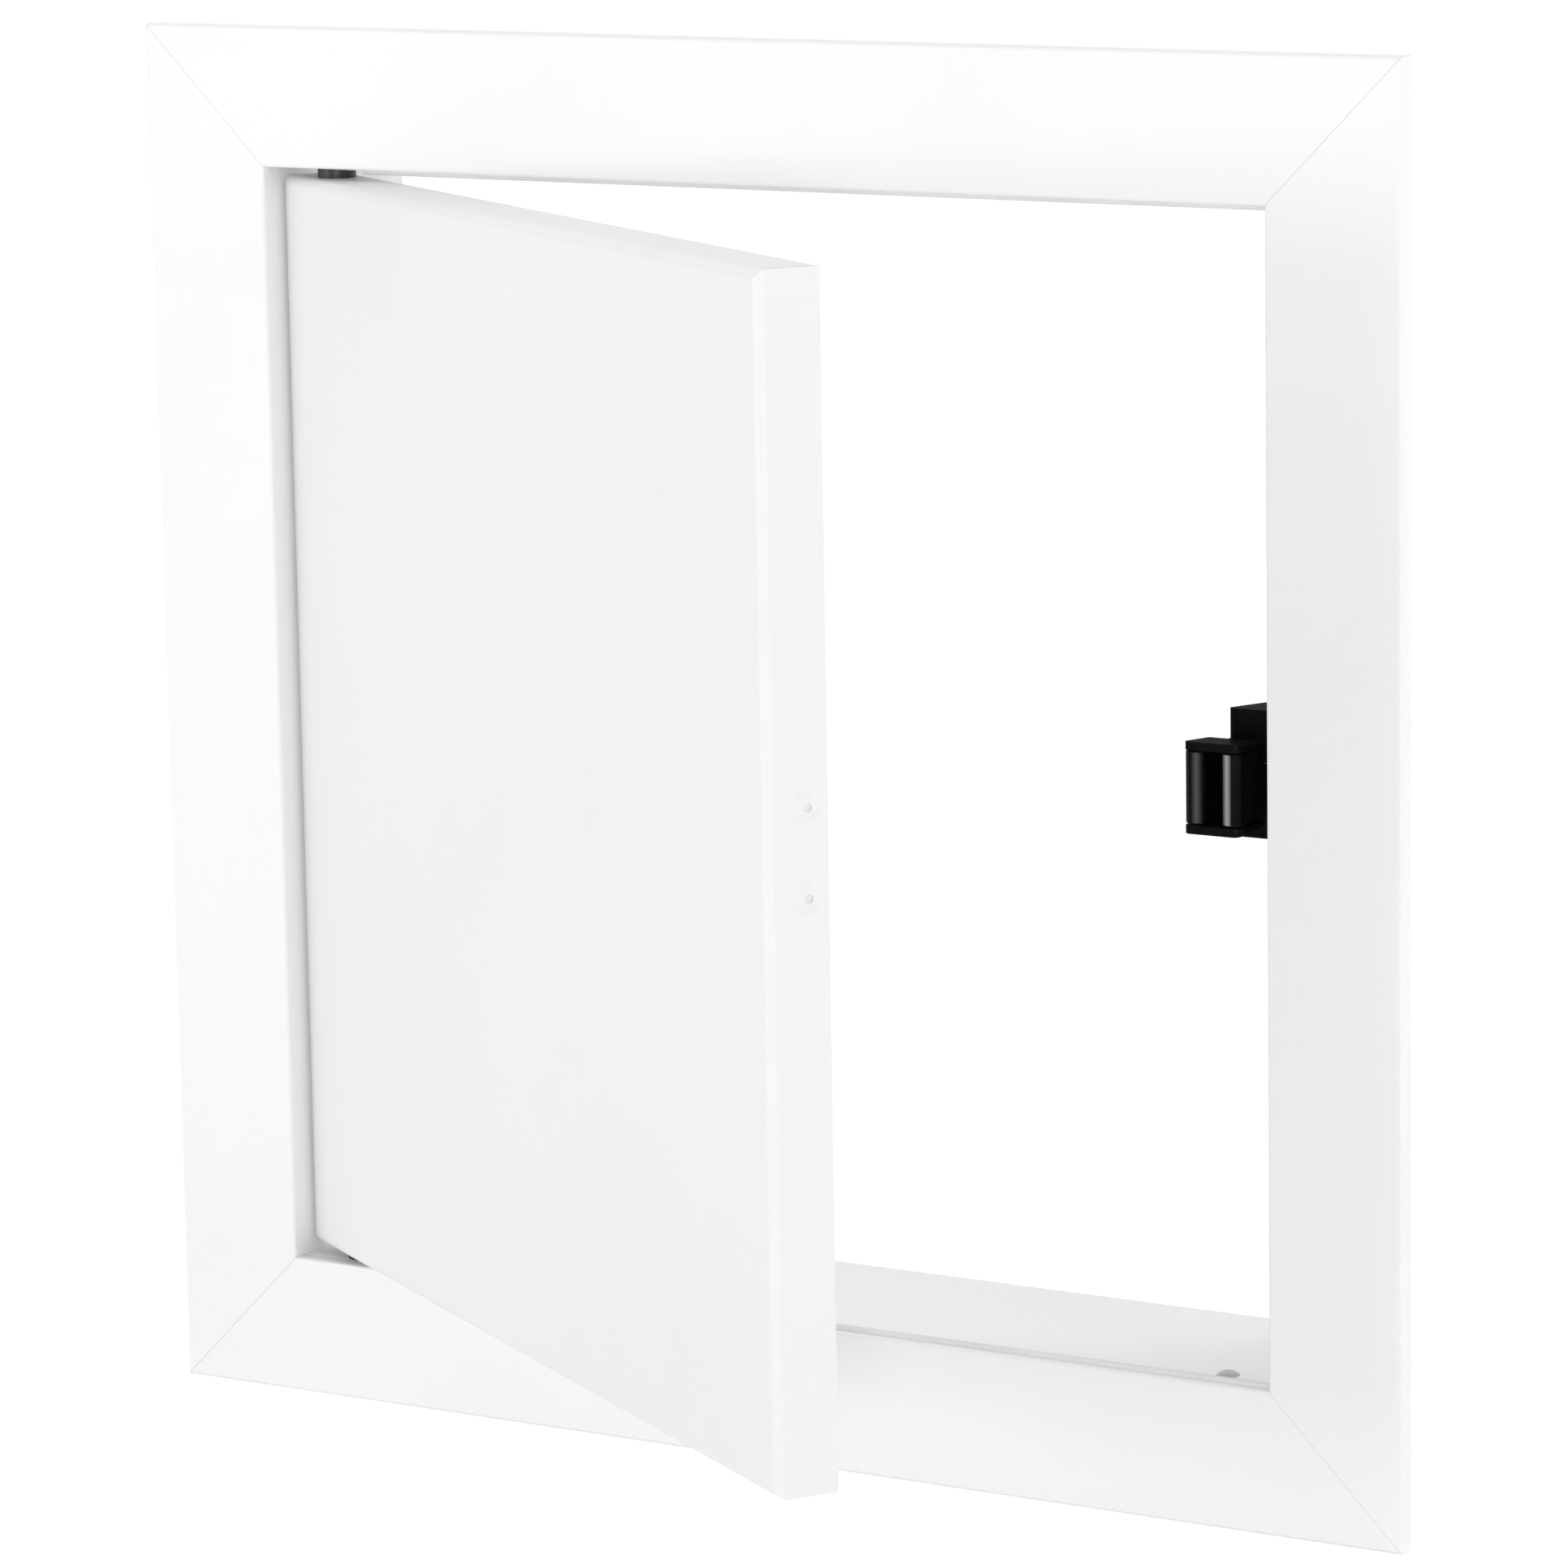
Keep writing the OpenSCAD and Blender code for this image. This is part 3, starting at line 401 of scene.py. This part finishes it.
def wound_spring(name, low, high, along, wire, turns):
    steps_a_turn, wire_sides = 36, 12
    close_pitch = wire * 1.04
    across = [i for i in range(3) if i != along]
    middle = (low + high) / 2
    coil_r = (high[across[0]] - low[across[0]] - wire) / 2
    length = high[along] - low[along] - wire
    open_pitch = (length - 2 * close_pitch) / (turns - 2)
    bm = bmesh.new()
    rings = []
    for i in range(turns * steps_a_turn + 1):
        turn = i / steps_a_turn
        rise = min(turn, 1.0) * close_pitch + min(max(turn - 1.0, 0.0), turns - 2) * open_pitch
        rise += max(turn - (turns - 1), 0.0) * close_pitch
        round_coil = 2 * math.pi * turn
        ring = []
        for k in range(wire_sides):
            round_wire = 2 * math.pi * k / wire_sides
            r = coil_r + wire / 2 * math.cos(round_wire)
            point = [0.0, 0.0, 0.0]
            point[across[0]] = middle[across[0]] + r * math.cos(round_coil)
            point[across[1]] = middle[across[1]] + r * math.sin(round_coil)
            point[along] = low[along] + wire / 2 + rise + wire / 2 * math.sin(round_wire)
            ring.append(bm.verts.new(point))
        rings.append(ring)
    for one, two in zip(rings, rings[1:]):
        for k in range(wire_sides):
            n = (k + 1) % wire_sides
            bm.faces.new((one[k], one[n], two[n], two[k])).smooth = True
    bm.faces.new(rings[0])
    bm.faces.new(rings[-1])
    bmesh.ops.recalc_face_normals(bm, faces=bm.faces)
    mesh = bpy.data.meshes.new(name)
    bm.to_mesh(mesh)
    bm.free()
    mesh.materials.append(spring_steel)
    piece = bpy.data.objects.new(name, mesh)
    bpy.context.scene.collection.objects.link(piece)
    return piece


spring_low, spring_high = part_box("latch_spring")
latch_coil = wound_spring("latch_coil", spring_low, spring_high, along=1, wire=0.0007, turns=7)
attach(latch_coil, "frame")
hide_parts("latch_spring")
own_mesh(latch_coil)


# Door leaf
# One aluminium sheet folded into a shallow pan, with slits where the folded edges meet.
# Coated like the frame, but on rolled sheet, so the coat lies a little flatter.

door_coat = finish_from(
    powder_coat, "door_white_coat",
    {"Full Coat": (0.89, 0.89, 0.888, 1), "Thin Coat": (0.875, 0.875, 0.871, 1), "Peel Scale": 420.0,
     "Smoothest": 0.34, "Roughest": 0.44},
    bump_strength=0.1, bump_distance=0.0002)
give_finish(door_coat, "door_leaf")


# Striker bracket, striker and rivets
# A folded angle of zinc plated steel riveted to the door's free edge, with a tee-shaped rail on it.
# The blind rivets are aluminium, lightly coated, with a dimple where the mandrel was drawn through.

eased_copy("striker_bracket", "door", zinc_steel, edge=0.00012)
eased_copy("striker", "door", zinc_steel, edge=0.0001)
rivet_coat = finish_from(
    powder_coat, "rivet_thin_coat",
    {"Full Coat": (0.885, 0.885, 0.881, 1), "Thin Coat": (0.855, 0.855, 0.85, 1), "Peel Scale": 900.0,
     "Smoothest": 0.46, "Roughest": 0.6},
    bump_strength=0.1, bump_distance=0.0001)
give_finish(rivet_coat, "striker_rivets")


# Hinge brackets and rivets
# Two angles of zinc plated steel, each with an ear that guides a pivot pin.
# Their legs are riveted to the inside of the door's hinge edge.

eased_copy("upper_hinge_bracket", "door", zinc_steel, edge=0.00012)
eased_copy("lower_hinge_bracket", "door", zinc_steel, edge=0.00012)
give_finish(rivet_coat, "hinge_bracket_rivets")


# Pivot pins, pin spring and spacers
# Dark steel pins turn in the rails' holes; the upper one is sprung and has a bent finger tab.
# Black nylon washers on the pins keep the coated edges of the door off the rails; their black is partly their
# own colour and partly painted shade for the gap between the door's top and the rail at the hinge.

give_finish(dark_steel, "lower_pivot_pin", "upper_pivot_pin")
pin_low, pin_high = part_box("upper_pin_spring")
pin_coil = wound_spring("pin_coil", pin_low, pin_high, along=2, wire=0.0006, turns=9)
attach(pin_coil, "door")
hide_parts("upper_pin_spring")
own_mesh(pin_coil)
# Nearly black: the nylon's own colour, and also painted shade standing in for the shadow in the hinge gap.
spacer_nylon_gap_shade = finish_from(
    moulded_plastic, "black_spacer_nylon_gap_shade",
    {"Body": (0.02, 0.02, 0.021, 1), "Flow": (0.028, 0.028, 0.029, 1), "Smoothest": 0.34, "Roughest": 0.48},
    bump_strength=0.05, bump_distance=0.0001)
give_finish(spacer_nylon_gap_shade, "upper_pivot_spacer", "lower_pivot_spacer")


# Plugs in the spare pivot holes
# Two grey nylon plugs with domed heads, each moulded in one piece.
# They are pushed into the holes that would carry the door on the other hand.

plug_nylon = finish_from(
    moulded_plastic, "grey_plug_nylon",
    {"Body": (0.5, 0.5, 0.505, 1), "Flow": (0.57, 0.57, 0.575, 1), "Smoothest": 0.34, "Roughest": 0.48},
    bump_strength=0.05, bump_distance=0.0001)
give_finish(plug_nylon, "spare_hole_plugs")


# Floor, light and camera
# A plain pale floor and a white studio: soft light all round, large lamps at both sides and behind the panel,
# and two low lamps in front of it. The camera stands to the right of the panel and a little above its middle.

floor_z = cad_low.z
floor_mesh = bpy.data.meshes.new("floor")
reach = 4.0
floor_mesh.from_pydata(
    [(-reach, -reach, floor_z), (reach, -reach, floor_z), (reach, reach, floor_z), (-reach, reach, floor_z)],
    [], [(0, 1, 2, 3)])
floor = bpy.data.objects.new("floor", floor_mesh)
bpy.context.scene.collection.objects.link(floor)


def math_node(tree, operation, first, second):
    node = tree.nodes.new("ShaderNodeMath")
    node.operation = operation
    tree.links.new(first, node.inputs[0])
    if isinstance(second, float):
        node.inputs[1].default_value = second
    else:
        tree.links.new(second, node.inputs[1])
    return node.outputs[0]


def show_blend(tree, output_kind, share, first, second):
    blend = tree.nodes.new("ShaderNodeMixShader")
    tree.links.new(share, blend.inputs["Fac"])
    tree.links.new(first.outputs[0], blend.inputs[1])
    tree.links.new(second.outputs[0], blend.inputs[2])
    out = tree.nodes.new(output_kind)
    tree.links.new(blend.outputs[0], out.inputs["Surface"])


floor_paint = bpy.data.materials.new("pale_floor")
floor_paint.use_nodes = True
tree = floor_paint.node_tree
tree.nodes.clear()
paint = tree.nodes.new("ShaderNodeBsdfDiffuse")
paint.inputs["Color"].default_value = (0.9, 0.9, 0.9, 1)
glow = tree.nodes.new("ShaderNodeEmission")
glow.inputs["Strength"].default_value = 1.15
glow_share = 0.82
rays = tree.nodes.new("ShaderNodeLightPath").outputs
seen = math_node(tree, "MAXIMUM", rays["Is Camera Ray"], rays["Is Glossy Ray"])
part_glow = math_node(tree, "MULTIPLY", seen, glow_share)
show_blend(tree, "ShaderNodeOutputMaterial", part_glow, paint, glow)
floor_mesh.materials.append(floor_paint)

studio = bpy.data.worlds.new("white_studio")
bpy.context.scene.world = studio
studio.use_nodes = True
tree = studio.node_tree
tree.nodes.clear()
soft_light = tree.nodes.new("ShaderNodeBackground")
soft_light.inputs["Color"].default_value = (1, 1, 1, 1)
soft_light.inputs["Strength"].default_value = 0.635
backdrop = tree.nodes.new("ShaderNodeBackground")
backdrop.inputs["Color"].default_value = (1, 1, 1, 1)
backdrop.inputs["Strength"].default_value = 1.0
rays = tree.nodes.new("ShaderNodeLightPath").outputs
seen = math_node(tree, "MAXIMUM", rays["Is Camera Ray"], rays["Is Glossy Ray"])
seen_through = math_node(tree, "MAXIMUM", seen, rays["Is Transmission Ray"])
show_blend(tree, "ShaderNodeOutputWorld", seen_through, soft_light, backdrop)


def large_lamp(name, place, aim, size, power):
    lamp = bpy.data.lights.new(name, "AREA")
    lamp.shape = "SQUARE"
    lamp.size = size
    lamp.energy = power
    holder = bpy.data.objects.new(name, lamp)
    holder.location = place
    holder.rotation_euler = (Vector(aim) - Vector(place)).to_track_quat("-Z", "Y").to_euler()
    bpy.context.scene.collection.objects.link(holder)


middle_of_panel = (0, 0, 0)
large_lamp("left_lamp", (-1.6, -1.0, 0.45), middle_of_panel, size=0.9, power=3.3)
large_lamp("right_lamp", (1.75, -0.5, 0.35), middle_of_panel, size=0.8, power=3.2)
large_lamp("left_back_lamp", (-1.3, 0.9, 0.7), middle_of_panel, size=1.0, power=1.8)
large_lamp("right_back_lamp", (1.3, 1.1, 0.8), middle_of_panel, size=0.9, power=5.8)
large_lamp("overhead_lamp", (0.2, 0.7, 1.4), middle_of_panel, size=1.0, power=3.2)
large_lamp("low_left_lamp", (-0.7, -1.2, 0.05), (0, 0, -0.06), size=0.34, power=2.2)
large_lamp("low_right_lamp", (1.1, -1.9, 0.1), middle_of_panel, size=0.4, power=8.3)

azimuth, elevation, roll = math.radians(31.3053), math.radians(10.2511), math.radians(-0.9558)
looked_at = Vector((0.0064967, -0.0036, -0.0033151))
distance = 1.20967
focal_px, photo_width_px, sensor_mm = 8484.82, 1931, 36.0
back = Vector((math.sin(azimuth) * math.cos(elevation), -math.cos(azimuth) * math.cos(elevation),
               math.sin(elevation)))
level = (-back).cross(Vector((0, 0, 1))).normalized()
upright = level.cross(-back)
right = level * math.cos(roll) + upright * math.sin(roll)
up = upright * math.cos(roll) - level * math.sin(roll)
eye = looked_at + back * distance
lens = bpy.data.cameras.new("camera")
lens.sensor_fit = "HORIZONTAL"
lens.sensor_width = sensor_mm
lens.lens = focal_px * sensor_mm / photo_width_px
lens.clip_start = 0.01
lens.clip_end = 50.0
camera = bpy.data.objects.new("camera", lens)
camera.matrix_world = Matrix((
    (right.x, up.x, back.x, eye.x),
    (right.y, up.y, back.y, eye.y),
    (right.z, up.z, back.z, eye.z),
    (0, 0, 0, 1)))
bpy.context.scene.collection.objects.link(camera)
bpy.context.scene.camera = camera
bpy.context.scene.view_settings.view_transform = "Standard"
